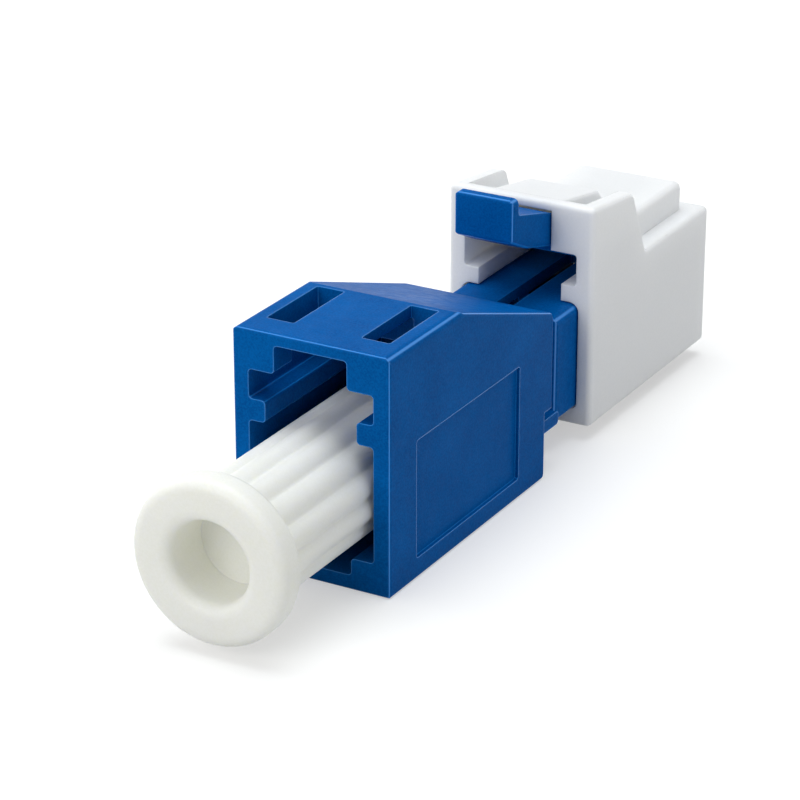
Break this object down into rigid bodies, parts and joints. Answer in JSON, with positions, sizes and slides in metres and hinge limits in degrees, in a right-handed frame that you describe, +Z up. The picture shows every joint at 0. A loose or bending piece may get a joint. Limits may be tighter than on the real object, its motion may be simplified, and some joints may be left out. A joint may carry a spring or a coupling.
{
  "type": "fibre optic attenuator",
  "caption": "Blue plug-to-socket fibre attenuator with a keyed socket, latch lever and spring-loaded ferrule, its socket and plug closed by a white dust plug and dust cap.",
  "frame": {"origin": "on the level of the housing's underside, below the middle of the overall length", "axes": "+Y along the optical axis from the socket to the plug's nose, +Z up through the latch, +X to the right seen from the socket"},
  "size_m": [0.0062, 0.0326, 0.0104],
  "materials": {
    "blue_plastic": "semi-gloss moulded",
    "holder_plastic": "matt moulded",
    "zirconia": "ground and polished ceramic",
    "fibre_glass": "clear",
    "plated_metal": "nickel plated",
    "spring_steel": "drawn wire",
    "ivory_plastic": "soft translucent moulded",
    "white_plastic": "satin translucent moulded"
  },
  "bodies": {
    "attenuator": {"adapter_housing": "blue_plastic", "plug_housing": "blue_plastic", "sleeve_holder": "holder_plastic", "split_sleeve": "zirconia", "spring_stop": "plated_metal", "coil_spring": "spring_steel"},
    "latch": {"latch_lever": "blue_plastic"},
    "ferrule_unit": {"ferrule": "zirconia", "attenuating_fibre": "fibre_glass", "ferrule_collar": "plated_metal"},
    "socket_cover": {"dust_plug": "ivory_plastic"},
    "plug_cover": {"dust_cap": "white_plastic"}
  },
  "joints": [
    {"name": "latch_press", "type": "hinge", "parent": "attenuator", "child": "latch", "pos_m": [0, 0.01282, 0.00607], "axis": [1, 0, 0], "range_deg": [0, 4], "stiffness_Nm_per_rad": 0.1},
    {"name": "dust_plug_pull", "type": "slide", "parent": "attenuator", "child": "socket_cover", "axis": [0, -1, 0], "range_m": [0, 0.012]},
    {"name": "dust_cap_pull", "type": "slide", "parent": "attenuator", "child": "plug_cover", "axis": [0, 1, 0], "range_m": [0, 0.012]},
    {"name": "ferrule_float", "type": "slide", "parent": "attenuator", "child": "ferrule_unit", "axis": [0, -1, 0], "range_m": [0, 0.0005], "stiffness_N_per_m": 1000, "springref_m": -0.002, "deforming": ["coil_spring"]}
  ]
}
